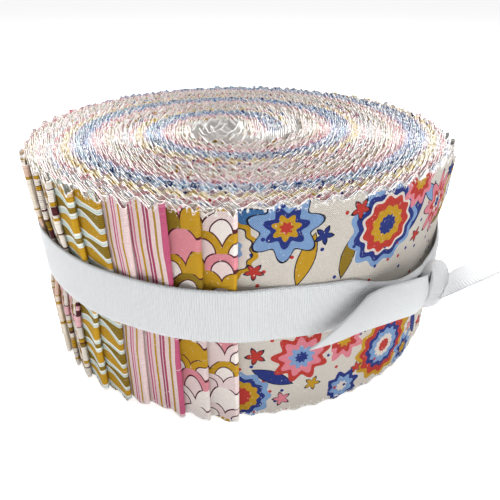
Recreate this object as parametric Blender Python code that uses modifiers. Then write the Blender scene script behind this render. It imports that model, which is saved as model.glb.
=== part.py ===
"""Jelly roll: forty folded quilting-cotton strips wound as one roll and tied with a ribbon.

The roll stands on its flat end, on the XY plane, with its axis on +Z. Angles are in degrees, counted
counter-clockwise from +X as seen from above, and -Y is the front. Lengths are in millimetres until a
mesh is made. Run with: blender --background --python part.py
"""

import math

import bmesh
import bpy
from mathutils import Matrix, Vector

METRES = 0.001

# The strips
STRIP_WIDTH = 63.5
STRIP_COUNT = 40
FOLDED_STRIP = 0.54
TURN = STRIP_COUNT * FOLDED_STRIP

# The roll: radius at the crest of the folds, and the angles where the folded ends show. PRESSED_ROUND is
# the share of the stack's own unevenness that the winding presses out.
ROLL_RADIUS = 65.2
FIRST_FOLDS = (271.0, 264.3, 257.5, 248.8, 242.8, 234.7, 227.0, 220.6)
LAST_FOLD = -22.0
FOLD_CREST = 0.95
CREASE = 0.55
CREST_AT = 0.9
SHOULDER_AT = 0.35
PLAIN_COLUMNS = 11
PRESSED_ROUND = 0.5

# Levels of the roll's side. "inset" is measured inwards from the roll's radius, and "swell" is the share
# of the folds' crest that is left: the ribbon presses the folds flat.
SIDE_LEVELS = (
    {"height": 0.0, "inset": 0.4, "swell": 1.0, "follows_ribbon": False},
    {"height": 1.2, "inset": 0.0, "swell": 1.0, "follows_ribbon": False},
    {"height": 13.0, "inset": 0.1, "swell": 1.0, "follows_ribbon": False},
    {"height": -9.0, "inset": 1.1, "swell": 0.5, "follows_ribbon": True},
    {"height": 9.0, "inset": 1.1, "swell": 0.5, "follows_ribbon": True},
    {"height": 53.0, "inset": 0.1, "swell": 1.0, "follows_ribbon": False},
    {"height": 61.5, "inset": -0.1, "swell": 1.0, "follows_ribbon": False},
    {"height": 62.9, "inset": 0.6, "swell": 0.9, "follows_ribbon": False},
)

# The top: pinked teeth at the rim, and the stack's turns as a low spiral ridge
TOOTH = 1.3
TOP_HEIGHT = 62.3
RIDGE = 0.7
TOP_RINGS = 12
CORE_RADIUS = 5.0
CORE_DIP = 1.6

# The ribbon
RIBBON_THICKNESS = 1.0
CLEARANCE = 0.36
RIBBON_COURSE = (
    {"angle": -38.0, "middle": 31.0, "width": 8.0, "lift": 1.6},
    {"angle": -28.0, "middle": 31.6, "width": 10.0, "lift": 1.0},
    {"angle": -15.0, "middle": 33.0, "width": 13.8, "lift": 0.2},
    {"angle": 0.0, "middle": 34.0, "width": 15.0, "lift": 0.0},
    {"angle": 60.0, "middle": 35.2, "width": 15.0, "lift": 0.0},
    {"angle": 150.0, "middle": 36.6, "width": 15.0, "lift": 0.0},
    {"angle": 221.0, "middle": 36.6, "width": 15.0, "lift": 0.0},
    {"angle": 240.0, "middle": 35.9, "width": 15.0, "lift": 0.0},
    {"angle": 263.0, "middle": 35.2, "width": 15.0, "lift": 0.0},
    {"angle": 290.0, "middle": 33.9, "width": 15.0, "lift": 0.0},
    {"angle": 297.0, "middle": 33.4, "width": 14.2, "lift": 0.1},
    {"angle": 304.0, "middle": 32.4, "width": 10.5, "lift": 0.5},
    {"angle": 312.0, "middle": 31.4, "width": 8.0, "lift": 1.2},
    {"angle": 322.0, "middle": 31.0, "width": 8.0, "lift": 1.6},
)
RIBBON_STATION = 4.0

# The knot is one turn of ribbon round the gathered band
KNOT = {"angle": 322.5, "radius": 69.2, "height": 30.4, "length": 10.5, "depth": 7.0, "tall": 14.6, "lean": 14.0}

# Tail laid back over the band, from the knot to its slanted cut
SHORT_TAIL = (
    {"low_angle": 319.0, "low_radius": 69.6, "low": 26.4, "high_angle": 317.0, "high_radius": 69.4, "high": 36.0},
    {"low_angle": 314.2, "low_radius": 69.5, "low": 25.5, "high_angle": 311.8, "high_radius": 69.2, "high": 37.6},
    {"low_angle": 307.7, "low_radius": 68.5, "low": 26.4, "high_angle": 308.6, "high_radius": 68.4, "high": 37.9},
    {"low_angle": 299.0, "low_radius": 67.2, "low": 26.5, "high_angle": 304.8, "high_radius": 67.3, "high": 38.0},
    {"low_angle": 292.8, "low_radius": 66.6, "low": 25.3, "high_angle": 302.0, "high_radius": 66.7, "high": 37.7},
    {"low_angle": 285.7, "low_radius": 66.4, "low": 24.5, "high_angle": 299.4, "high_radius": 66.5, "high": 36.9},
)

# Tail that stands away to the right: its middle line, half the way across it, and how far it bows
LONG_TAIL = (
    {"x": 55.2, "y": -44.2, "z": 29.6, "across_x": -0.2, "across_y": 2.8, "across_z": 1.6, "bow": 0.3},
    {"x": 58.7, "y": -43.6, "z": 30.6, "across_x": -0.3, "across_y": 3.6, "across_z": 0.4, "bow": 0.7},
    {"x": 61.8, "y": -43.2, "z": 32.2, "across_x": -0.7, "across_y": 5.0, "across_z": -1.1, "bow": 1.0},
    {"x": 65.4, "y": -42.0, "z": 33.5, "across_x": -1.6, "across_y": 6.1, "across_z": -2.3, "bow": 1.1},
    {"x": 69.8, "y": -40.2, "z": 34.7, "across_x": -2.3, "across_y": 6.3, "across_z": -3.1, "bow": 1.0},
    {"x": 74.9, "y": -37.6, "z": 36.1, "across_x": -2.5, "across_y": 6.2, "across_z": -3.3, "bow": 0.9},
    {"x": 80.6, "y": -34.8, "z": 37.4, "across_x": -2.7, "across_y": 6.2, "across_z": -3.2, "bow": 0.8},
    {"x": 86.5, "y": -32.2, "z": 38.0, "across_x": -2.8, "across_y": 6.3, "across_z": -3.0, "bow": 0.7},
)
LONG_TAIL_CUT = 5.0


def polar(angle, radius, height):
    turn = math.radians(angle)
    return Vector((radius * math.cos(turn), radius * math.sin(turn), height))


def between(table, key, column, at):
    """Reads one column of a table smoothly, at a value of its key column."""
    rows = sorted(table, key=lambda row: row[key])
    at = min(max(at, rows[0][key]), rows[-1][key])
    for row, following in zip(rows, rows[1:]):
        if at <= following[key]:
            share = (at - row[key]) / (following[key] - row[key])
            eased = share * share * (3 - 2 * share)
            return row[column] + (following[column] - row[column]) * eased
    return rows[-1][column]


def fold_angles():
    """Angles of the folded ends, from the innermost strip to the outermost, turning clockwise."""
    rest = STRIP_COUNT - len(FIRST_FOLDS)
    step = (FIRST_FOLDS[-1] - LAST_FOLD) / rest
    return list(FIRST_FOLDS) + [FIRST_FOLDS[-1] - step * (i + 1) for i in range(rest)]


def stack_radius(angle):
    """Radius of the wound stack about its own centre. Each folded end that is passed leaves one less."""
    after_first = (angle - FIRST_FOLDS[0]) % 360.0
    plain = (LAST_FOLD - FIRST_FOLDS[0]) % 360.0
    grown = TURN * after_first / 360.0
    if after_first <= plain:
        return grown
    return grown - TURN * (after_first - plain) / (360.0 - plain)


def roundness():
    """Mean of the stack's radius and its first harmonic, which only says where the roll's axis is."""
    samples = [(math.radians(a), stack_radius(a)) for a in range(360)]
    mean = sum(r for _, r in samples) / 360.0
    along_x = sum(r * math.cos(a) for a, r in samples) / 180.0
    along_y = sum(r * math.sin(a) for a, r in samples) / 180.0
    return mean, along_x, along_y


MEAN_STACK, OFF_X, OFF_Y = roundness()


def roll_radius(angle):
    """Radius of the roll at the crests of its folds, about the roll's axis."""
    turn = math.radians(angle)
    centred = stack_radius(angle) - OFF_X * math.cos(turn) - OFF_Y * math.sin(turn)
    return ROLL_RADIUS + (centred - MEAN_STACK) * (1.0 - PRESSED_ROUND)


def ribbon_middle(angle):
    return between(RIBBON_COURSE, "angle", "middle", (angle + 38.0) % 360.0 - 38.0)


def side_columns():
    """Columns of the roll's side: an angle, and how far the folds swell (1) or sink (0) there."""
    folds = sorted(fold_angles())
    columns = []
    for left, right in zip(folds, folds[1:]):
        columns.append((left, 0.0))
        columns.append((left + (right - left) * SHOULDER_AT, 0.8))
        columns.append((left + (right - left) * CREST_AT, 1.0))
    plain_step = (folds[0] + 360.0 - folds[-1]) / PLAIN_COLUMNS
    columns.append((folds[-1], 0.0))
    columns += [(folds[-1] + plain_step * (i + 1), 0.75) for i in range(PLAIN_COLUMNS - 1)]
    return columns


def side_point(column, angle, swell, level):
    height = level["height"] + (ribbon_middle(angle) if level["follows_ribbon"] else 0.0)
    if level is SIDE_LEVELS[-1] or level is SIDE_LEVELS[-2]:
        height -= TOOTH * (column % 2)
    sunk = (FOLD_CREST + CREASE) * (1.0 - swell) * level["swell"]
    pressed = FOLD_CREST * (1.0 - level["swell"])
    return polar(angle, roll_radius(angle) - level["inset"] - pressed - sunk, height)


def top_point(angle, share):
    """Point of the top at a share of the radius: one low ridge for each turn of the stack."""
    radius = (roll_radius(angle) - FOLD_CREST - CREASE) * share
    ridge = RIDGE * math.cos(2 * math.pi * (radius / TURN - angle / 360.0))
    core = max(0.0, 1.0 - radius / (3 * CORE_RADIUS))
    return polar(angle, radius, TOP_HEIGHT + ridge * (1.0 - core) - CORE_DIP * core)


def loft(name, rings, material, closed=False):
    """Solid through rings of points: each ring closes on itself, and so does the row of rings if closed."""
    mesh = bmesh.new()
    rows = [[mesh.verts.new(point * METRES) for point in ring] for ring in rings]
    pairs = list(zip(rows, rows[1:])) + ([(rows[-1], rows[0])] if closed else [])
    for lower, upper in pairs:
        for i, vertex in enumerate(lower):
            j = (i + 1) % len(lower)
            mesh.faces.new((vertex, lower[j], upper[j], upper[i]))
    if not closed:
        mesh.faces.new(reversed(rows[0]))
        mesh.faces.new(rows[-1])
    bmesh.ops.recalc_face_normals(mesh, faces=mesh.faces)
    data = bpy.data.meshes.new(name)
    mesh.to_mesh(data)
    mesh.free()
    data.materials.append(material)
    return bpy.data.objects.new(name, data)


def strip_roll(material):
    """The wound strips as one solid, with every folded end, the press of the ribbon and the pinked rim."""
    columns = side_columns()
    rings = [
        [side_point(i, angle, swell, level) for i, (angle, swell) in enumerate(columns)]
        for level in SIDE_LEVELS
    ]
    core_share = CORE_RADIUS / ROLL_RADIUS
    for ring in range(TOP_RINGS):
        share = 0.97 + (core_share - 0.97) * ring / (TOP_RINGS - 1)
        rings.append([top_point(angle, share) for angle, _ in columns])
    return loft("strip_roll", rings, material)


def ribbon_band(material):
    """The ribbon's way round the roll, narrowed where it is gathered into the knot."""
    start, end = RIBBON_COURSE[0]["angle"], RIBBON_COURSE[-1]["angle"]
    stations = round((end - start) / RIBBON_STATION)
    waist = next(level for level in SIDE_LEVELS if level["follows_ribbon"])
    pressed = waist["inset"] + FOLD_CREST * (1.0 - waist["swell"])
    rings = []
    for i in range(stations):
        angle = start + (end - start) * i / stations
        inner = roll_radius(angle) - pressed + CLEARANCE + between(RIBBON_COURSE, "angle", "lift", angle)
        outer = inner + RIBBON_THICKNESS
        middle = between(RIBBON_COURSE, "angle", "middle", angle)
        half = between(RIBBON_COURSE, "angle", "width", angle) / 2
        rings.append(
            [
                polar(angle, inner, middle - half),
                polar(angle, outer, middle - half),
                polar(angle, outer, middle + half),
                polar(angle, inner, middle + half),
            ]
        )
    return loft("ribbon_tie", rings, material, closed=True)


def ribbon_knot(material):
    """One turn of ribbon round the gathered band, as an oval barrel that lies along the roll's side."""
    bpy.ops.mesh.primitive_cylinder_add(vertices=14, radius=0.5 * METRES, depth=KNOT["length"] * METRES)
    knot = bpy.context.object
    knot.name = "knot"
    knot.scale = (KNOT["depth"], KNOT["tall"], 1.0)
    bpy.ops.object.transform_apply(location=False, rotation=False, scale=True)
    knot.data.materials.append(material)
    bevel = knot.modifiers.new("rounded ends", "BEVEL")
    bevel.width = 1.6 * METRES
    bevel.segments = 2
    bevel.limit_method = "ANGLE"
    bevel.angle_limit = math.radians(60)
    turn = math.radians(KNOT["angle"])
    outwards = Vector((math.cos(turn), math.sin(turn), 0.0))
    onwards = Vector((-math.sin(turn), math.cos(turn), 0.0))
    lean = math.radians(KNOT["lean"])
    upwards = Vector((0, 0, 1)) * math.cos(lean) - onwards * math.sin(lean)
    along = outwards.cross(upwards)
    turned = Matrix((outwards, upwards, along)).transposed().to_4x4()
    spot = polar(KNOT["angle"], KNOT["radius"], KNOT["height"]) * METRES
    knot.matrix_world = Matrix.Translation(spot) @ turned
    return knot


def short_tail(material):
    """Free end laid back over the band, cut on a slant."""
    rings = []
    for row in SHORT_TAIL:
        low = polar(row["low_angle"], row["low_radius"], row["low"])
        high = polar(row["high_angle"], row["high_radius"], row["high"])
        low_out = polar(row["low_angle"], row["low_radius"] + RIBBON_THICKNESS, row["low"])
        high_out = polar(row["high_angle"], row["high_radius"] + RIBBON_THICKNESS, row["high"])
        rings.append([low, low_out, high_out, high])
    return loft("short tail", rings, material)


def long_tail(material):
    """Free end that stands away from the roll, bowed across and cut on a slant."""
    middles = [Vector((row["x"], row["y"], row["z"])) for row in LONG_TAIL]
    rings = []
    for i, row in enumerate(LONG_TAIL):
        run = (middles[min(i + 1, len(middles) - 1)] - middles[max(i - 1, 0)]).normalized()
        across = Vector((row["across_x"], row["across_y"], row["across_z"]))
        face = run.cross(across).normalized()
        slant = run * LONG_TAIL_CUT if i == len(middles) - 1 else Vector((0, 0, 0))
        crown = middles[i] + face * row["bow"]
        near = middles[i] - across + slant
        far = middles[i] + across - slant
        thick = face * RIBBON_THICKNESS
        rings.append([near, crown, far, far + thick, crown + thick, near + thick])
    return loft("long tail", rings, material)


def join(base, pieces, shelf):
    """Boolean union of the ribbon's pieces, because the ribbon is one length of cloth."""
    for piece in pieces:
        for holder in list(piece.users_collection):
            holder.objects.unlink(piece)
        shelf.objects.link(piece)
        piece.hide_render = True
        piece.display_type = "WIRE"
        union = base.modifiers.new("with " + piece.name, "BOOLEAN")
        union.operation = "UNION"
        union.solver = "EXACT"
        union.object = piece


def cloth(name, colour, roughness):
    material = bpy.data.materials.new(name)
    material.use_nodes = True
    shader = material.node_tree.nodes["Principled BSDF"]
    shader.inputs["Base Color"].default_value = (*colour, 1.0)
    shader.inputs["Roughness"].default_value = roughness
    shader.inputs["Metallic"].default_value = 0.0
    return material


def main():
    for old in list(bpy.data.objects):
        bpy.data.objects.remove(old)
    parts = bpy.data.collections.new("jelly roll")
    shelf = bpy.data.collections.new("cutters")
    for collection in (parts, shelf):
        bpy.context.scene.collection.children.link(collection)

    cotton = cloth("printed cotton", (0.78, 0.66, 0.52), 0.9)
    grosgrain = cloth("white grosgrain", (0.86, 0.87, 0.88), 0.7)
    parts.objects.link(strip_roll(cotton))
    ribbon = ribbon_band(grosgrain)
    parts.objects.link(ribbon)
    join(ribbon, [ribbon_knot(grosgrain), short_tail(grosgrain), long_tail(grosgrain)], shelf)


main()
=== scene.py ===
"""Looks of a roll of folded, pinked cotton strips that is tied with a white ribbon.

Lengths are in millimetres and angles in degrees, counter-clockwise from +X as seen from above, until a
mesh is made in metres. The roll's axis is +Z, and -Y is the front.
"""

import math
import random

import bpy
import numpy as np
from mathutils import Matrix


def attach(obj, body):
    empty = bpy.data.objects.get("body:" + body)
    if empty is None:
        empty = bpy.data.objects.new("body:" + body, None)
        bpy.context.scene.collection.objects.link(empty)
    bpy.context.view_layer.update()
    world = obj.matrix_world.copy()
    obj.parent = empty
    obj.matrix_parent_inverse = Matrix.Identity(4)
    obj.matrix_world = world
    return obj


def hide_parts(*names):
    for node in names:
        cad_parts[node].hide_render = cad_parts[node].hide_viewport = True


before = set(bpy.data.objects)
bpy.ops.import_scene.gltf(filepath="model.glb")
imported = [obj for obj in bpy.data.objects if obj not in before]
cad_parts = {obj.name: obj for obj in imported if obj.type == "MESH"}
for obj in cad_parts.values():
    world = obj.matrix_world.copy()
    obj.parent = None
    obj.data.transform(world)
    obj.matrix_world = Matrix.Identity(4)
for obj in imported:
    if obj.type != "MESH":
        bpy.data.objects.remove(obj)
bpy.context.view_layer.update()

# Camera at the photograph's angle, close to the roll and looking down on its front and top.
camera_data = bpy.data.cameras.new("camera")
camera_data.sensor_width = 36.0
camera_data.lens = 35.0
camera_data.clip_start = 0.01
camera = bpy.data.objects.new("camera", camera_data)
camera.location = (0.0035, -0.1572, 0.1052)
camera.rotation_euler = (math.radians(60.8), 0.0, 0.0)
scene = bpy.context.scene
scene.collection.objects.link(camera)
scene.camera = camera

# Studio floor and light: white paper that runs out of view under a bright, soft light from the front
# and the left, as in a small light tent.


class Link:
    """One value in a material's node tree, on which the usual signs of arithmetic work."""

    def __init__(self, finish, socket):
        self.finish = finish
        self.socket = socket

    def math(self, operation, *others):
        return self.finish.node("Math", {"operation": operation}, [self, *others])

    def __add__(self, other):
        return self.math("ADD", other)

    def __sub__(self, other):
        return self.math("SUBTRACT", other)

    def __rsub__(self, other):
        return self.finish.node("Math", {"operation": "SUBTRACT"}, [other, self])

    def __mul__(self, other):
        return self.math("MULTIPLY", other)

    def __truediv__(self, other):
        return self.math("DIVIDE", other)

    def __pow__(self, other):
        return self.math("POWER", other)

    def __lt__(self, other):
        return self.math("LESS_THAN", other)

    def __gt__(self, other):
        return self.math("GREATER_THAN", other)

    def __abs__(self):
        return self.math("ABSOLUTE")

    __radd__ = __add__
    __rmul__ = __mul__


def shade(colour):
    """Linear values of a colour that is written as on the web, such as c59a22."""
    parts = [int(colour[i : i + 2], 16) / 255 for i in (0, 2, 4)]
    linear = [p / 12.92 if p <= 0.04045 else ((p + 0.055) / 1.055) ** 2.4 for p in parts]
    return (*linear, 1.0)


class Finish:
    """A material and the nodes that draw it."""

    def __init__(self, name, roughness):
        self.material = bpy.data.materials.new(name)
        self.material.use_nodes = True
        self.tree = self.material.node_tree
        self.shader = self.tree.nodes["Principled BSDF"]
        self.shader.inputs["Roughness"].default_value = roughness
        self.shader.inputs["Specular IOR Level"].default_value = 0.15

    def nodes(self, kind, settings, inputs):
        """Outputs of a new node. Its inputs are values or links, in the sockets' order or by key."""
        node = self.tree.nodes.new("ShaderNode" + kind)
        for name, value in settings.items():
            setattr(node, name, value)
        keyed = inputs.items() if isinstance(inputs, dict) else enumerate(inputs)
        for key, value in keyed:
            if isinstance(value, Link):
                self.tree.links.new(value.socket, node.inputs[key])
            elif isinstance(value, str):
                node.inputs[key].default_value = shade(value)
            else:
                node.inputs[key].default_value = value
        return [Link(self, socket) for socket in node.outputs]

    def node(self, kind, settings, inputs):
        return self.nodes(kind, settings, inputs)[0]

    def mix(self, mask, base, colour, blend="MIX"):
        """base where the mask is 0 and colour where it is 1."""
        settings = {"data_type": "RGBA", "blend_type": blend}
        return self.nodes("Mix", settings, {0: mask, 6: base, 7: colour})[2]

    def spot(self, x, y, z=0.0):
        return self.node("CombineXYZ", {}, [x, y, z])

    def split(self, vector):
        return self.nodes("SeparateXYZ", {}, [vector])

    def noise(self, vector, scale, detail=2.0):
        return self.node("TexNoise", {}, {"Vector": vector, "Scale": scale, "Detail": detail})

    def paint(self, colour):
        key = "Base Color"
        if isinstance(colour, Link):
            self.tree.links.new(colour.socket, self.shader.inputs[key])
        else:
            self.shader.inputs[key].default_value = shade(colour)

    def relief(self, height, depth):
        """Bump of a depth in metres, from a height of 0 to 1."""
        bump = self.node("Bump", {}, {"Strength": 1.0, "Distance": depth, "Height": height})
        self.tree.links.new(bump.socket, self.shader.inputs["Normal"])


paper = Finish("floor_paper", 0.9)
grain = paper.noise(paper.nodes("TexCoord", {}, {})[3], 900.0)
paper.paint(paper.mix(grain, "f4f4f4", "fbfbfb"))
paper.relief(grain, 0.00002)
paper.shader.inputs["Emission Color"].default_value = (1.0, 1.0, 1.0, 1.0)
paper.shader.inputs["Emission Strength"].default_value = 0.6
reach = 6.0
floor_mesh = bpy.data.meshes.new("floor")
corners = [(-reach, -reach, 0.0), (reach, -reach, 0.0), (reach, reach, 0.0), (-reach, reach, 0.0)]
floor_mesh.from_pydata(corners, [], [(0, 1, 2, 3)])
floor_mesh.materials.append(paper.material)
floor = bpy.data.objects.new("floor", floor_mesh)
scene.collection.objects.link(floor)

scene.view_settings.view_transform = "Standard"
world = bpy.data.worlds.new("light_tent")
world.use_nodes = True
world.node_tree.nodes["Background"].inputs["Color"].default_value = (1.0, 1.0, 1.0, 1.0)
world.node_tree.nodes["Background"].inputs["Strength"].default_value = 0.36
scene.world = world
for name, place, size, watts in (
    ("lamp_left", (-0.5, -0.2, 0.5), 0.35, 0.3),
    ("lamp_top", (0.05, 0.15, 0.7), 0.5, 10.0),
    ("lamp_right", (0.45, -0.5, 0.4), 0.3, 0.7),
):
    lamp_data = bpy.data.lights.new(name, "AREA")
    lamp_data.size = size
    lamp_data.energy = watts
    lamp = bpy.data.objects.new(name, lamp_data)
    lamp.location = place
    away = np.array(place) - (0.0, 0.0, 0.03)
    turn = math.atan2(away[1], away[0]) + math.pi / 2
    lamp.rotation_euler = (math.atan2(math.hypot(away[0], away[1]), away[2]), 0.0, turn)
    scene.collection.objects.link(lamp)

# Forty strips of printed quilting cotton, cut 2 1/2 inches wide with pinking shears. Each is folded in
# half with its print outwards, and they are stacked a little apart at the fold and rolled up together
# from their cut ends, so the folds show one beside the next round the roll.
STRIP_WIDTH = 63.5
STRIP_COUNT = 40
TURN = 22.2
FOLDED_STRIP = TURN / STRIP_COUNT
CLOTH = 0.2
INNER_PLY = 0.14
PLY_GAP = 0.275
CORE = 0.9
RIM = 65.0
TOOTH_LENGTH = 6.0
TOOTH_DEPTH = 2.5
SELVEDGE = 11.0
CORE_SELVEDGE = 45.0
RIBBON_MIDDLE = 35.3
FIRST_FOLD = 271.0
LAST_FOLD = -22.0

# Angles of the folded ends, from the innermost strip to the outermost, turning clockwise.
folds = [FIRST_FOLD, 264.3, 257.5, 248.8, 242.8, 234.7, 227.0, 220.6]
hidden = STRIP_COUNT - len(folds)
fold_step = (folds[-1] - LAST_FOLD) / hidden
folds += [folds[-1] - fold_step * (i + 1) for i in range(hidden)]


def stack(angle):
    """How far the stack has grown: it gains with the turn and loses a strip at each folded end."""
    after = np.mod(angle - FIRST_FOLD, 360.0)
    plain = (LAST_FOLD - FIRST_FOLD) % 360.0
    grown = TURN * after / 360.0
    return np.where(after <= plain, grown, grown - TURN * (after - plain) / (360.0 - plain))


around = np.arange(0.0, 360.0)
mean_stack = stack(around).mean()
off_x = (stack(around) * np.cos(np.radians(around))).mean() * 2
off_y = (stack(around) * np.sin(np.radians(around))).mean() * 2


def settle(radius, angle, height):
    """Place in the tied roll of a point of the loose spiral: pressed nearly round, with a waist."""
    turned = np.radians(angle)
    share = np.clip(radius / RIM, 0.0, 1.1)
    uneven = stack(angle) - off_x * np.cos(turned) - off_y * np.sin(turned) - mean_stack
    outer = np.clip((radius - 40.0) / (RIM - 40.0), 0.0, 1.0) ** 2
    press = 1.0 / (1.0 + np.exp((np.abs(height - RIBBON_MIDDLE) - 10.0) / 1.6))
    flare = 0.3 * np.clip((height - 50.0) / 12.0, 0.0, 1.0) ** 2
    sway = 0.2 * np.sin(3.0 * turned + radius * 0.13) + 0.15 * np.sin(7.0 * turned - radius * 0.2)
    settled = radius - 0.5 * uneven * share**3 + (flare - 1.1 * press) * outer + sway * share
    x = settled * np.cos(turned) - 3.3 + (3.3 - off_x) * share
    y = settled * np.sin(turned) + 0.5 - (0.5 + off_y) * share
    return x, y


def course(number):
    """Radius and angle along a strip's middle, from its cut end in the core to its fold."""
    start = 20.0
    layer = CORE + (number - 1) * FOLDED_STRIP
    first = layer + TURN * start / 360.0
    swing = 0.2 + 25.8 * ((number - 1) / 39.0) ** 0.8
    bend = first + swing
    tail = []
    for back in np.arange(0.4, 300.0, 0.4):
        x = -swing * math.cos(math.radians(start)) + bend * math.cos(math.radians(start - back))
        y = -swing * math.sin(math.radians(start)) + bend * math.sin(math.radians(start - back))
        radius = math.hypot(x, y)
        angle = math.degrees(math.atan2(y, x))
        if angle > start:
            angle -= 360.0
        next_turn = CORE + TURN * (angle + 360.0) / 360.0
        if radius > next_turn - 0.45 or math.radians(back) * bend > 24.0:
            break
        tail.append((radius, angle))
    angles = np.arange(start, 720.0 + folds[number - 1] + 0.01, 0.5)
    spiral = np.stack([layer + TURN * angles / 360.0, angles], axis=1)
    return np.concatenate([np.array(tail[::-1]).reshape(-1, 2), spiral])


def tooth(run, phase):
    """1 at a tooth's blunt tip and 0 at its root."""
    slope = np.abs(np.mod((run - phase) / TOOTH_LENGTH, 1.0) * 2.0 - 1.0)
    return np.clip(slope * 1.35, 0.0, 1.0)


def strip_mesh(number, materials):
    """Mesh of one folded strip, as one grid from the cut end round the fold and back."""
    chance = random.Random(number * 17 + 3)
    path = course(number)
    turned = np.radians(path[:, 1])
    plan = np.stack([path[:, 0] * np.cos(turned), path[:, 0] * np.sin(turned)])
    steps = np.hypot(*np.diff(plan, axis=1))
    to_fold = np.concatenate([np.cumsum(steps[::-1])[::-1], [0.0]])
    length = to_fold[0]
    nose = chance.uniform(1.2, 1.8)
    lift = chance.uniform(6.0, 8.5)
    columns = []
    for side in (0, 1):
        phase = chance.uniform(0.0, TOOTH_LENGTH)
        near_fold = [0.0, 0.5, 1.1, 1.9, 3.0, 4.3, 5.8, 7.5, 9.5]
        marks = list(near_fold)
        tips = np.arange(phase, length - 3.0, TOOTH_LENGTH)
        for place in np.concatenate([tips - 0.9, tips + 0.9, tips + 3.0]):
            if 0.0 < place < length and min(abs(place - m) for m in near_fold) > 0.35:
                marks.append(place)
        marks = sorted(marks)
        if side == 0:
            marks = marks[::-1]
        columns += [(mark, side, phase + 3.0) for mark in marks]
        if side == 0:
            columns += [(0.0, turn, phase + 3.0) for turn in (0.2, 0.5, 0.8)]
    count = len(columns)
    marks = np.array([c[0] for c in columns])
    sides = np.array([c[1] for c in columns])
    phases = np.array([c[2] for c in columns])
    radius = np.interp(marks, to_fold[::-1], path[::-1, 0])
    angle = np.interp(marks, to_fold[::-1], path[::-1, 1])
    run = np.concatenate([[0.0], np.cumsum(np.abs(np.diff(marks)))])
    fade = np.clip(1.0 - marks / lift, 0.0, 1.0) ** 1.7
    drop = chance.uniform(0.0, 0.8)
    lean = chance.uniform(-0.5, 0.5)
    rows = [0.0, 2.7, 20.0, 27.0, 43.6, 50.0, 60.6, STRIP_WIDTH]
    tips = np.array([chance.uniform(-0.35, 0.35) for _ in range(count)])
    height = np.empty((count, len(rows)))
    for j, row in enumerate(rows):
        height[:, j] = row
    height[:, -1] = STRIP_WIDTH - TOOTH_DEPTH * (1.0 - tooth(marks, phases)) + tips * 0.4
    height[:, 0] = TOOTH_DEPTH * 0.55 * (1.0 - tooth(marks, phases)) + np.abs(tips) * 0.3
    cloth_place = height.copy()
    height += drop * (0.6 + 0.4 * np.sin(np.radians(angle) + number))[:, None]
    squeeze = 1.0 - 0.5 / (1.0 + np.exp((np.abs(height - RIBBON_MIDDLE) - 9.0) / 1.5))
    bulge = nose * squeeze
    around_nose = np.clip(sides, 0.0, 1.0)
    apart = PLY_GAP + (bulge - PLY_GAP) * fade[:, None]
    outward = INNER_PLY + apart * (0.5 - 0.5 * np.cos(np.pi * around_nose))[:, None]
    outward[:, -1] += tips * 0.12
    forward = 0.5 * bulge * np.sin(np.pi * around_nose)[:, None]
    spread = radius[:, None] + outward
    turned = angle[:, None] + np.degrees(forward / np.maximum(spread, 3.0))
    turned = turned + lean * np.clip(1.0 - marks / 60.0, 0.0, 1.0)[:, None] * (height - 30.0) / 30.0
    x, y = settle(spread, turned, height)
    points = np.stack([x, y, height], axis=2) * 0.001
    levels = len(rows)
    corner = (np.arange(count - 1)[:, None] * levels + np.arange(levels - 1)[None, :]).ravel()
    faces = np.stack([corner, corner + 1, corner + levels + 1, corner + levels], axis=1)
    mesh = bpy.data.meshes.new(f"strip_{number:02d}")
    mesh.from_pydata(points.reshape(-1, 3).tolist(), [], faces.tolist())
    runs = np.repeat(run[:, None], levels, 1)
    spots = np.stack([runs, cloth_place], axis=2).reshape(-1, 2) * 0.001
    uv = mesh.uv_layers.new(name="cloth")
    uv.data.foreach_set("uv", spots[faces.ravel()].ravel())
    edge = mesh.attributes.new("edge", "FLOAT", "POINT")
    bareness = np.zeros((count, levels))
    bareness[:, 0] = 1.0
    bareness[:, -1] = 1.0
    bareness[marks > length - (SELVEDGE if number > 4 else CORE_SELVEDGE)] = 2.0
    edge.data.foreach_set("value", bareness.ravel())
    for material in materials:
        mesh.materials.append(material)
    return mesh, length * 2


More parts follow.
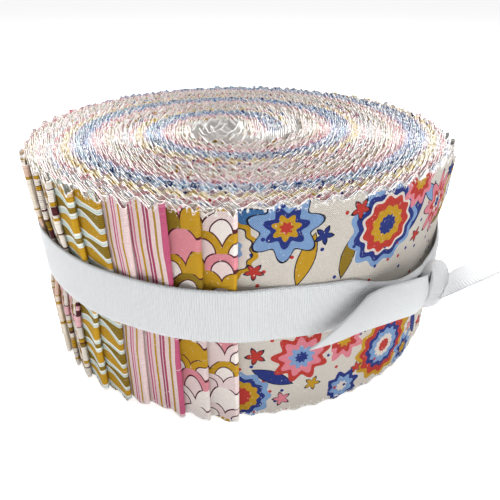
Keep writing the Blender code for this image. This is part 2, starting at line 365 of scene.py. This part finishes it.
class Cotton(Finish):
    """Plain-woven cotton. along and across are the place on the cloth, in millimetres."""

    def __init__(self, name, ground):
        super().__init__(name, 0.92)
        place = self.split(self.node("UVMap", {"uv_map": "cloth"}, {}))
        self.along = place[0] * 1000.0
        self.across = place[1] * 1000.0
        self.colour = ground

    def add(self, mask, colour):
        self.colour = self.mix(mask, self.colour, colour)

    def rings(self, distance, table):
        """Rings of colour round a motif's middle, outermost first: each is a radius and a colour."""
        for radius, colour in table:
            self.add(distance < radius, colour)

    def petals(self, u, v, count, depth, turn=0.0):
        """Distance from a motif's middle, less where a petal reaches out."""
        lobe = (v.math("ARCTAN2", u) * float(count) + turn).math("COSINE")
        return (u * u + v * v) ** 0.5 / (lobe * depth + 1.0)

    def star(self, u, v, points, turn=0.3):
        saw = (v.math("ARCTAN2", u) * (points / math.tau) + turn).math("FRACT") - 0.5
        return (u * u + v * v) ** 0.5 / (abs(saw) * 1.2 + 0.42)

    def pick(self, chance, tints):
        """One of several colours, by a chance."""
        tint = tints[0]
        for i, other in enumerate(tints[1:]):
            tint = self.mix(chance > (i + 1) / len(tints), tint, other)
        return tint

    def leaf(self, u, v, turn, length, width):
        """Below 1 inside a pointed leaf that is turned by an angle."""
        c = math.cos(math.radians(turn))
        s = math.sin(math.radians(turn))
        run = (u * c + v * s) / length
        return abs(v * c - u * s) / width + run * run

    def chances(self, where):
        """Three chances between 0 and 1 for a place."""
        return self.split(self.nodes("TexWhiteNoise", {"noise_dimensions": "3D"}, {"Vector": where})[1])

    def scatter(self, size, seed, jitter=0.3):
        """Strewn places about one size apart: offsets from the nearest, and three chances for it."""
        v = self.across / size + (seed * 0.37 % 1.0)
        row = v.math("FLOOR")
        u = self.along / size + row * 0.5 + (seed * 0.71 % 1.0)
        chance = self.chances(self.spot(u.math("FLOOR"), row, float(seed)))
        du = u.math("FRACT") - 0.5 + (chance[0] - 0.5) * jitter
        dv = v.math("FRACT") - 0.5 + (chance[1] - 0.5) * jitter
        return du * size, dv * size, chance

    def weave(self):
        """Threads over the print in colour and relief, frayed and white along the cut edges."""
        fine = math.tau / 0.55
        over = (self.along * fine).math("SINE") * (self.across * fine).math("SINE")
        slub = self.noise(self.spot(self.along * 0.9, self.across * 2.4), 1.0, 3.0)
        speck = self.noise(self.spot(self.along * 2.6, self.across * 2.6), 1.0, 3.0)
        light = over * 0.13 + (slub - 0.5) * 0.25 + (speck - 0.5) * 0.3 + 0.98
        grey = self.spot(light, light, light)
        lit = self.mix(1.0, self.colour, grey, "MULTIPLY")
        edge = self.node("Attribute", {"attribute_name": "edge"}, {})
        fray = self.noise(self.spot(self.along * 1.5, self.across * 1.1), 1.0, 4.0)
        bare = (edge * 0.2 + fray - 0.64) * 9.0
        bare = bare.math("MAXIMUM", edge - 1.0).math("MINIMUM", 1.0).math("MAXIMUM", 0.0)
        self.paint(self.mix(bare, lit, "f4f1ee"))
        self.relief(over * 0.6 + speck, 0.00022)


NAVY, SKY, RED, PINK, MUSTARD = "26347a", "7c9cc6", "b93a32", "d9808c", "c09424"
OLIVE, CREAM, BROWN, INK = "8a7020", "dcd2c8", "52242a", "1c1e30"
GARDEN_REPEAT = 82.0


def scallops(cotton, sizes, tints, line):
    """Overlapping petals in rows, each outlined."""
    tall, wide = sizes
    lift = cotton.noise(cotton.spot(cotton.along * 0.05, cotton.across * 0.05), 1.0) * 9.0
    v = (cotton.across + lift) / tall
    row = v.math("FLOOR")
    for level in (1.0, 0.0):
        low = row + level
        u = cotton.along / wide + low * 0.5 + lift * 0.05
        chance = cotton.chances(cotton.spot(u.math("FLOOR"), low))
        du = (u.math("FRACT") - 0.5) * wide
        dv = (v - low) * tall
        away = (du * du + dv * dv * 0.6) ** 0.5 / (wide * 0.56)
        inside = away < 1.0
        cotton.add(inside, line)
        cotton.add(away < 0.93, cotton.pick(chance[0], tints))
        cotton.add((away < 0.6) * (chance[1] > 0.45), line)
        heart = cotton.mix(chance[2] > 0.5, tints[-1], tints[1])
        cotton.add((away < 0.53) * (chance[1] > 0.45), heart)


def stripes(cotton, repeat, lines):
    """Lines across the strip: each is its place, half its width and a colour."""
    sway = cotton.noise(cotton.spot(0.0, cotton.across * 0.08), 1.0) * 0.5
    u = ((cotton.along + sway) / repeat).math("FRACT") * repeat
    for place, half, colour in lines:
        cotton.add(abs(u - place) < half, colour)


def waves(cotton, repeat, tints, line):
    """Wedges that swell and shrink along the cloth, in two colours by turns, between wavy gaps."""
    bend = (cotton.along * 0.3).math("SINE") * 0.8
    for shift, tint in ((0.0, tints[0]), (repeat / 2, tints[1])):
        v = ((cotton.across + bend + shift) / repeat).math("FRACT") * repeat - repeat / 2
        taper = abs(((cotton.along + shift * 1.7) / 17.0).math("FRACT") - 0.5)
        swell = taper * (repeat * 0.4) + repeat * 0.05
        cotton.add(abs(v + 0.2) < swell + 0.3, line)
        cotton.add(abs(v) < swell, tint)


def flowers(cotton, size, seed, tints, hearts, line=None, petals=5, reach=0.36, leafy=None):
    """Strewn flowers with a heart, some with leaves and an outline."""
    u, v, chance = cotton.scatter(size, seed)
    if leafy:
        for turn in (35.0, 150.0):
            cotton.add(cotton.leaf(u - size * 0.1, v, turn, size * 0.5, size * 0.13) < 1.0, leafy)
    near = cotton.petals(u, v, petals, 0.3, chance[2] * 6.0)
    if line:
        cotton.add(near < size * reach * 1.12, line)
    cotton.add(near < size * reach, cotton.pick(chance[2], tints))
    if line:
        cotton.add(near < size * reach * 0.45, line)
    cotton.rings(near, [(size * reach * 0.38, hearts[0]), (size * reach * 0.18, hearts[1])])


def stars(cotton, size, seed, tints, points=5, reach=0.3):
    u, v, chance = cotton.scatter(size, seed, 0.4)
    tint = cotton.mix(chance[2] > 0.5, tints[0], tints[-1])
    cotton.add(cotton.star(u, v, points) < size * reach, tint)


def dots(cotton, size, seed, tint, reach=0.16):
    u, v, _ = cotton.scatter(size, seed, 0.5)
    cotton.add((u * u + v * v) ** 0.5 < size * reach, tint)


def leaves(cotton, size, seed, tints, vein=None):
    u, v, chance = cotton.scatter(size, seed, 0.2)
    tint = cotton.mix(chance[2] > 0.5, tints[0], tints[-1])
    for turn in (40.0, -50.0):
        cotton.add(cotton.leaf(u, v, turn, size * 0.46, size * 0.17) < 1.0, tint)
        if vein:
            cotton.add(cotton.leaf(u, v, turn, size * 0.4, size * 0.03) < 1.0, vein)


def draw_scallop_petals(cotton):
    scallops(cotton, (5.2, 8.0), [MUSTARD, "e6d2d0", "d98a94", OLIVE, MUSTARD, "efe6e0"], BROWN)


def draw_rose_stripes(cotton):
    lines = [(0.6, 0.35, "b04a68"), (1.5, 0.28, "a04868"), (3.2, 0.3, MUSTARD), (4.6, 0.2, "d47894")]
    stripes(cotton, 8.4, lines + [(5.4, 0.22, "c05a7c"), (7.1, 0.32, "b08a30")])


def draw_wavy_wedges(cotton):
    waves(cotton, 8.2, (MUSTARD, OLIVE), "eceee8")


def draw_sprigs(cotton):
    leaves(cotton, 9.0, 3, (OLIVE, MUSTARD), BROWN)
    flowers(cotton, 13.0, 5, ["e8b6bc", "efe6dc"], (MUSTARD, BROWN), BROWN)
    dots(cotton, 3.6, 7, MUSTARD)


def draw_outlined_buds(cotton):
    scallops(cotton, (10.0, 9.0), ["e6d8c8", "d7b9a8", "dca0a8", "e9dfd2"], "a8862c")


def draw_rose_flowers(cotton):
    flowers(cotton, 8.0, 11, ["c86a84", "b8486a"], (MUSTARD, CREAM), None, 5, 0.34, "b9a878")
    dots(cotton, 3.0, 12, "c86a84")


def draw_red_flowers(cotton):
    flowers(cotton, 7.0, 13, [RED, PINK], (MUSTARD, NAVY), None, 6, 0.3, OLIVE)


def draw_pink_stars(cotton):
    stars(cotton, 6.5, 17, (RED, MUSTARD))
    dots(cotton, 2.7, 18, "f0dcdc")


def draw_lilac_flowers(cotton):
    flowers(cotton, 8.5, 19, ["8c7cb4", "b6a4cc"], (MUSTARD, CREAM), "5a4a80", 5, 0.34, "93a8a0")


def draw_sky_flowers(cotton):
    flowers(cotton, 7.5, 23, ["eef0f2", "b8cae0"], (MUSTARD, NAVY), None, 5, 0.36, "4c6ea8")


def draw_navy_dots(cotton):
    dots(cotton, 4.2, 29, "e6e8ee", 0.22)
    stars(cotton, 8.0, 30, (SKY, "e6e8ee"))


def draw_teal_leaves(cotton):
    leaves(cotton, 7.5, 31, ("3f7f92", "28587c"), "dfe8e8")


def draw_blue_flowers(cotton):
    flowers(cotton, 8.0, 37, [NAVY, "4868ac"], ("e8dcc0", RED), None, 6, 0.36, "5a84b8")
    dots(cotton, 3.1, 38, NAVY)


def draw_plum_flowers(cotton):
    flowers(cotton, 9.0, 41, ["6a4a7c", "3a3c78"], (PINK, CREAM), None, 5, 0.38, OLIVE)


def draw_mustard_leaves(cotton):
    leaves(cotton, 8.0, 43, (MUSTARD, "9a9a9c"), None)


def draw_daisies(cotton):
    flowers(cotton, 9.0, 47, ["f2efe8", "f6e6b0"], (MUSTARD, OLIVE), None, 9, 0.38, "9aa860")


def draw_small_stars(cotton):
    stars(cotton, 7.0, 53, (RED, NAVY))
    stars(cotton, 9.5, 54, (PINK, MUSTARD), 5, 0.2)


def draw_pink_petals(cotton):
    flowers(cotton, 10.0, 59, ["e8a8b0", "f2dcd6"], (MUSTARD, CREAM), "b86a78", 6, 0.4)


def draw_mixed_flowers(cotton):
    flowers(cotton, 9.5, 61, [RED, SKY, MUSTARD, PINK], (CREAM, NAVY), None, 6, 0.36, "6c8c88")
    dots(cotton, 3.8, 62, NAVY, 0.12)


def draw_garden(cotton):
    """Large ring flowers, daisies, leaves and stars, which repeat along the cloth."""
    x = (cotton.along / -GARDEN_REPEAT).math("FRACT") * GARDEN_REPEAT
    y = cotton.across
    for cx, cy, turn, length, width, tint in (
        (24.0, 53.0, 60.0, 7.0, 1.9, NAVY), (31.0, 56.5, -35.0, 6.0, 1.7, SKY),
        (58.0, 60.0, 10.0, 6.5, 1.8, "3c6a9c"), (73.0, 48.0, 75.0, 7.0, 2.0, MUSTARD),
        (38.0, 10.0, -60.0, 6.5, 1.8, NAVY), (32.0, 17.0, 40.0, 6.0, 1.6, MUSTARD),
        (50.0, 15.0, 20.0, 6.0, 1.7, SKY), (66.0, 13.5, -30.0, 6.0, 1.8, NAVY),
        (2.0, 47.0, 80.0, 6.0, 1.7, OLIVE), (45.0, 45.0, 8.0, 6.0, 1.6, OLIVE),
    ):
        u, v = x - cx, y - cy
        cotton.add(cotton.leaf(u, v, turn, length + 0.5, width + 0.3) < 1.0, INK)
        cotton.add(cotton.leaf(u, v, turn, length, width) < 1.0, tint)
    for cx, cy, petals, depth, table in (
        (13.0, 53.0, 11, 0.07, [(9.6, SKY), (8.3, NAVY), (6.9, CREAM), (6.2, RED), (4.2, MUSTARD),
                                (2.2, NAVY)]),
        (38.0, 51.5, 8, 0.25, [(6.6, INK), (6.2, PINK), (4.0, RED), (2.4, CREAM), (1.4, NAVY)]),
        (53.0, 52.0, 14, 0.05, [(7.6, MUSTARD), (6.6, INK), (6.3, CREAM), (4.6, SKY), (2.8, RED)]),
        (68.0, 57.0, 7, 0.2, [(6.6, INK), (6.2, SKY), (3.9, NAVY), (2.5, MUSTARD), (1.2, RED)]),
        (24.0, 61.5, 9, 0.15, [(5.2, PINK), (3.6, RED), (1.8, MUSTARD)]),
        (19.5, 12.5, 12, 0.07, [(9.2, MUSTARD), (7.9, RED), (6.2, NAVY), (4.9, SKY), (3.2, CREAM),
                                (1.8, RED)]),
        (42.5, 19.0, 8, 0.22, [(5.4, INK), (5.0, MUSTARD), (3.0, RED), (1.6, NAVY)]),
        (57.0, 7.5, 12, 0.06, [(7.2, SKY), (5.8, NAVY), (4.6, MUSTARD), (2.8, RED)]),
        (73.5, 19.0, 9, 0.16, [(6.2, RED), (4.7, PINK), (2.8, SKY), (1.4, NAVY)]),
        (31.5, 4.5, 7, 0.22, [(4.6, SKY), (2.9, NAVY), (1.6, MUSTARD)]),
        (4.0, 21.0, 8, 0.2, [(5.0, PINK), (3.2, RED), (1.6, MUSTARD)]),
        (4.5, 4.5, 8, 0.14, [(4.4, NAVY), (3.0, SKY), (1.4, CREAM)]),
    ):
        rings = [(radius * 1.15, tint) for radius, tint in table]
        cotton.rings(cotton.petals(x - cx, y - cy, petals, depth, cx), rings)
    for cx, cy, size, tint in (
        (4.0, 59.0, 2.6, RED), (27.0, 45.5, 2.2, RED), (46.0, 58.5, 2.4, NAVY), (61.0, 46.0, 2.3, RED),
        (77.0, 54.0, 2.4, NAVY), (10.5, 23.5, 2.3, NAVY), (30.5, 23.5, 2.3, RED), (34.0, 11.5, 2.0, PINK),
        (45.5, 6.0, 2.3, RED), (51.0, 24.0, 2.4, NAVY), (61.5, 21.0, 2.6, RED), (68.5, 5.5, 2.4, PINK),
        (77.0, 9.0, 2.3, MUSTARD), (9.0, 9.5, 1.9, RED),
    ):
        u, v = x - cx, y - cy
        near = cotton.star(u, v, 5, cx * 0.3)
        cotton.rings(near, [(size * 1.12, INK), (size * 0.9, tint)])
    u, v, chance = cotton.scatter(4.1, 71, 0.4)
    small = ((u * u + v * v) ** 0.5 < 0.5) * (chance[2] > 0.55)
    clear = cotton.split(cotton.colour)[2] > 0.5
    cotton.add(small * clear, cotton.mix(chance[0] > 0.5, NAVY, RED))


print_table = [
    ("petal_scallops", "e6d5cf", MUSTARD, draw_scallop_petals),
    ("rose_stripes", "e6cfce", "c05a7c", draw_rose_stripes),
    ("wavy_wedges", "cbd8d2", MUSTARD, draw_wavy_wedges),
    ("outlined_sprigs", "e3dad0", "b89050", draw_sprigs),
    ("outlined_buds", "e2d0bc", "c8963c", draw_outlined_buds),
    ("rose_flowers", "e8bcc4", "c8506c", draw_rose_flowers),
    ("red_flowers", "ead8d4", RED, draw_red_flowers),
    ("pink_stars", "dc8c9a", RED, draw_pink_stars),
    ("lilac_flowers", "c4bcdc", "6c5ca4", draw_lilac_flowers),
    ("sky_flowers", "80a8d8", NAVY, draw_sky_flowers),
    ("navy_dots", "3c5490", NAVY, draw_navy_dots),
    ("teal_leaves", "90bcd4", "28587c", draw_teal_leaves),
    ("blue_flowers", "88acd8", NAVY, draw_blue_flowers),
    ("plum_flowers", "c4a8bc", "4a3c78", draw_plum_flowers),
    ("mustard_leaves", "e4d49c", MUSTARD, draw_mustard_leaves),
    ("daisies", "e4c050", OLIVE, draw_daisies),
    ("small_stars", "e6e2dc", NAVY, draw_small_stars),
    ("pink_petals", "ecbcbc", "c8566a", draw_pink_petals),
    ("mixed_flowers", "dfe2e0", "4868ac", draw_mixed_flowers),
    ("ring_flower_garden", "d2cbc1", "4868ac", draw_garden),
]
prints = []
for name, ground, accent, draw in print_table:
    cotton = Cotton(name, ground)
    draw(cotton)
    cotton.weave()
    back = Cotton(name + "_wrong_side", ground)
    back.add(0.3, "f2eeea")
    stain = back.noise(back.spot(back.along * 0.55, back.across * 0.55), 1.0, 2.0)
    back.add(((stain - 0.52) * 9.0).math("MINIMUM", 0.6).math("MAXIMUM", 0.0), accent)
    back.weave()
    prints.append((cotton.material, back.material))

strips = []
for number in range(1, STRIP_COUNT + 1):
    mesh, cut_length = strip_mesh(number, prints[(number - 1) // 2])
    strip = bpy.data.objects.new(f"strip_{number:02d}", mesh)
    scene.collection.objects.link(strip)
    thick = strip.modifiers.new("thickness", "SOLIDIFY")
    thick.thickness = CLOTH * 0.001
    thick.offset = 0.0
    thick.material_offset = 1
    thick.material_offset_rim = 1
    solid = bpy.data.meshes.new_from_object(strip.evaluated_get(bpy.context.evaluated_depsgraph_get()))
    strip.modifiers.clear()
    strip.data = solid
    solid.shade_smooth()
    solid.set_sharp_from_angle(angle=math.radians(50.0))
    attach(strip, "root")
    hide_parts("strip_roll")
    strips.append(strip)

# White grosgrain ribbon, 15 mm wide. It goes once round the roll, crosses and is knotted at the front
# right, with both free ends beyond the knot: one slant-cut beside it, and one that leads away from it.
RIBBON_WIDTH = 15.0
RIBBON_THICK = 0.35
RIB = 0.62
RIBBON_CLEARANCE = 0.3
ribbon = Finish("white_grosgrain", 0.5)
place = ribbon.split(ribbon.node("UVMap", {"uv_map": "cloth"}, {}))
rib = (place[0] * (1000.0 * math.tau / RIB)).math("SINE")
fill = (place[1] * (1000.0 * math.tau / 0.5) + place[0] * (500.0 * math.tau / RIB)).math("SINE")
rim = (abs(place[1]) > 0.0068) * 1.0
speck = ribbon.noise(ribbon.spot(place[0] * 900.0, place[1] * 900.0), 1.0, 3.0)
light = rib * 0.035 + fill * 0.02 + (speck - 0.5) * 0.1 - rim * 0.03 + 0.98
ribbon.paint(ribbon.mix(1.0, "cdcfd1", ribbon.spot(light, light, light), "MULTIPLY"))
ribbon.relief(rib * 0.5 + fill * 0.25 + speck * 0.5, 0.00012)

# Radius of the outermost cloth at the ribbon's height, by whole degrees, bridged over the folds.
outline = {}
for strip in strips:
    places = np.empty(len(strip.data.vertices) * 3)
    strip.data.vertices.foreach_get("co", places)
    places = places.reshape(-1, 3) * 1000.0
    near = places[(places[:, 2] > 26.0) & (places[:, 2] < 44.5)]
    out = np.hypot(near[:, 0], near[:, 1])
    way = np.mod(np.degrees(np.arctan2(near[:, 1], near[:, 0])), 360.0).astype(int)
    for degree, far in zip(way[out > 58.0], out[out > 58.0]):
        outline[degree] = max(outline.get(degree, 0.0), far)
reach_out = np.array([outline.get(d, np.nan) for d in range(360)])
reach_out = np.where(np.isnan(reach_out), np.nanmean(reach_out), reach_out)
tight = np.array([max(reach_out[(d + o) % 360] for o in range(-5, 6)) for d in range(360)])
tight = np.array([np.mean([tight[(d + o) % 360] for o in range(-4, 5)]) for d in range(360)])

# The band's course: angle, middle height, width and lift off the roll. It is gathered at the knot.
band_course = np.array([
    (-38.0, 31.0, 8.0, 1.6), (-28.0, 31.6, 10.0, 1.0), (-15.0, 33.0, 13.8, 0.2), (0.0, 34.0, 15.0, 0.0),
    (60.0, 35.2, 15.0, 0.0), (150.0, 36.6, 15.0, 0.0), (221.0, 36.6, 15.0, 0.0), (240.0, 35.9, 15.0, 0.0),
    (263.0, 35.2, 15.0, 0.0), (290.0, 33.9, 15.0, 0.0), (297.0, 33.4, 14.2, 0.1), (304.0, 32.4, 10.5, 0.5),
    (312.0, 31.4, 8.0, 1.2), (322.0, 31.0, 8.0, 1.6),
])


def smooth_course(table, at):
    """Smooth values of a table at some places along its first column."""
    table = np.asarray(table, dtype=float)
    knots = table[:, 0]
    slopes = np.gradient(table[:, 1:], knots, axis=0)
    place = np.clip(np.searchsorted(knots, at, side="right") - 1, 0, len(knots) - 2)
    gap = (knots[place + 1] - knots[place])[:, None]
    t = ((at - knots[place]) / gap[:, 0])[:, None]
    low, high = table[place, 1:], table[place + 1, 1:]
    return (
        (2 * t**3 - 3 * t**2 + 1) * low
        + (t**3 - 2 * t**2 + t) * gap * slopes[place]
        + (3 * t**2 - 2 * t**3) * high
        + (t**3 - t**2) * gap * slopes[place + 1]
    )


patches = []
ACROSS = np.linspace(-1.0, 1.0, 17)

angles = np.arange(-38.0, 322.01, 0.6)
middle, width, lift = smooth_course(band_course, angles).T
base = tight[np.mod(np.round(angles).astype(int), 360)] + RIBBON_CLEARANCE + lift
gather = np.clip((RIBBON_WIDTH - width) / 7.0, 0.0, 1.0)
pleat = np.cos(ACROSS[None, :] * 8.5) * 0.75 * gather[:, None]
z = middle[:, None] + ACROSS[None, :] * width[:, None] / 2
r = base[:, None] + pleat - 0.12 * ACROSS[None, :] ** 2
turned = np.radians(angles)[:, None]
patches.append(np.stack([r * np.cos(turned), r * np.sin(turned), z], axis=2))

# The knot: a turn of gathered ribbon, shaped like a leaning barrel.
KNOT_ANGLE, KNOT_OUT, KNOT_HEIGHT = 322.5, 69.2, 30.0
KNOT_DEPTH, KNOT_TALL, KNOT_LENGTH, KNOT_LEAN = 3.6, 6.5, 5.0, 14.0
knot_out = np.array([math.cos(math.radians(KNOT_ANGLE)), math.sin(math.radians(KNOT_ANGLE)), 0.0])
knot_side = np.array([-knot_out[1], knot_out[0], 0.0])
up = np.array([0.0, 0.0, 1.0])
knot_middle = knot_out * KNOT_OUT + up * KNOT_HEIGHT
lean = math.radians(KNOT_LEAN)
knot_up = up * math.cos(lean) + knot_side * math.sin(lean)
knot_along = knot_side * math.cos(lean) - up * math.sin(lean)
wrap = np.radians(np.arange(-150.0, 240.01, 4.0))
grow = 1.0 + 0.04 * (wrap - wrap[0]) / (wrap[-1] - wrap[0])
pleats = 0.06 * np.cos(ACROSS * 13.0)
deep = 1.0 - 0.95 * np.abs(ACROSS) ** 3 + pleats
tall = 1.0 - 0.36 * np.abs(ACROSS) ** 2.4 + pleats
knot = (
    knot_middle
    + (np.cos(wrap) * grow)[:, None, None] * deep[None, :, None] * knot_out * KNOT_DEPTH
    + (np.sin(wrap) * grow)[:, None, None] * tall[None, :, None] * knot_up * KNOT_TALL
    + (ACROSS[None, :, None] * np.ones(len(wrap))[:, None, None]) * knot_along * KNOT_LENGTH
)
patches.append(knot)

# The short end, from the knot to its slanted cut: angle, radius and height of its lower and upper edge.
short_table = [
    (319.0, 69.6, 26.4, 317.0, 69.4, 36.0), (314.2, 69.5, 25.5, 311.8, 69.2, 37.6),
    (307.7, 68.5, 26.4, 308.6, 68.4, 37.9), (299.0, 67.2, 26.5, 304.8, 67.3, 38.0),
    (292.8, 66.6, 25.3, 302.0, 66.7, 37.7), (285.7, 66.4, 24.5, 299.4, 66.5, 36.9),
]
rows = [(i, *row) for i, row in enumerate(short_table)]
ends = smooth_course(rows, np.linspace(0.0, 5.0, 31))
share = (ACROSS[None, :] + 1) / 2
a = np.radians(ends[:, 0:1] * (1 - share) + ends[:, 3:4] * share)
r = ends[:, 1:2] * (1 - share) + ends[:, 4:5] * share + 0.5 * np.sin(math.pi * share)
z = ends[:, 2:3] * (1 - share) + ends[:, 5:6] * share
patches.append(np.stack([r * np.cos(a), r * np.sin(a), z], axis=2))

# The long end, from the knot outwards: its middle, half of its width as a vector, and its bow.
long_table = [
    (55.2, -44.2, 29.6, -0.2, 2.8, 1.6, 0.3), (58.7, -43.6, 30.6, -0.3, 3.6, 0.4, 0.7),
    (61.8, -43.2, 32.2, -0.7, 5.0, -1.1, 1.0), (65.4, -42.0, 33.5, -1.6, 6.1, -2.3, 1.1),
    (69.8, -40.2, 34.7, -2.3, 6.3, -3.1, 1.0), (74.9, -37.6, 36.1, -2.5, 6.2, -3.3, 0.9),
    (80.6, -34.8, 37.4, -2.7, 6.2, -3.2, 0.8), (86.5, -32.2, 38.0, -2.8, 6.3, -3.0, 0.7),
]
rows = [(i, *row) for i, row in enumerate(long_table)]
line = smooth_course(rows, np.linspace(0.0, 7.0, 43))
tail_middle = line[:, None, 0:3]
tail_half = line[:, None, 3:6]
bow = line[:, None, 6:7] * (1 - ACROSS[None, :, None] ** 2)
crush = 0.55 * np.exp(-np.arange(43) / 9.0)[:, None, None] * np.cos(ACROSS * 14.0)[None, :, None]
patches.append(tail_middle + ACROSS[None, :, None] * tail_half + bow * up + crush * knot_out)

# All the patches become one piece of cloth.
points = []
faces = []
spots = []
for patch in patches:
    count, levels = patch.shape[:2]
    middle_line = patch[:, levels // 2]
    run = np.concatenate([[0.0], np.cumsum(np.linalg.norm(np.diff(middle_line, axis=0), axis=1))])
    corner = (np.arange(count - 1)[:, None] * levels + np.arange(levels - 1)[None, :]).ravel()
    corner = corner + len(points)
    faces += np.stack([corner, corner + levels, corner + levels + 1, corner + 1], axis=1).tolist()
    points += (patch.reshape(-1, 3) * 0.001).tolist()
    side = ACROSS[None, :] * RIBBON_WIDTH / 2
    grid = np.stack(np.broadcast_arrays(run[:, None], side), axis=2)
    spots += (grid.reshape(-1, 2) * 0.001).tolist()
mesh = bpy.data.meshes.new("ribbon")
mesh.from_pydata(points, [], faces)
uv = mesh.uv_layers.new(name="cloth")
uv.data.foreach_set("uv", np.array(spots)[np.array(faces).ravel()].ravel())
mesh.materials.append(ribbon.material)
tie = bpy.data.objects.new("ribbon", mesh)
scene.collection.objects.link(tie)
thick = tie.modifiers.new("thickness", "SOLIDIFY")
thick.thickness = RIBBON_THICK * 0.001
thick.offset = 0.0
solid = bpy.data.meshes.new_from_object(tie.evaluated_get(bpy.context.evaluated_depsgraph_get()))
tie.modifiers.clear()
tie.data = solid
solid.shade_smooth()
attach(tie, "root")
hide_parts("ribbon_tie")
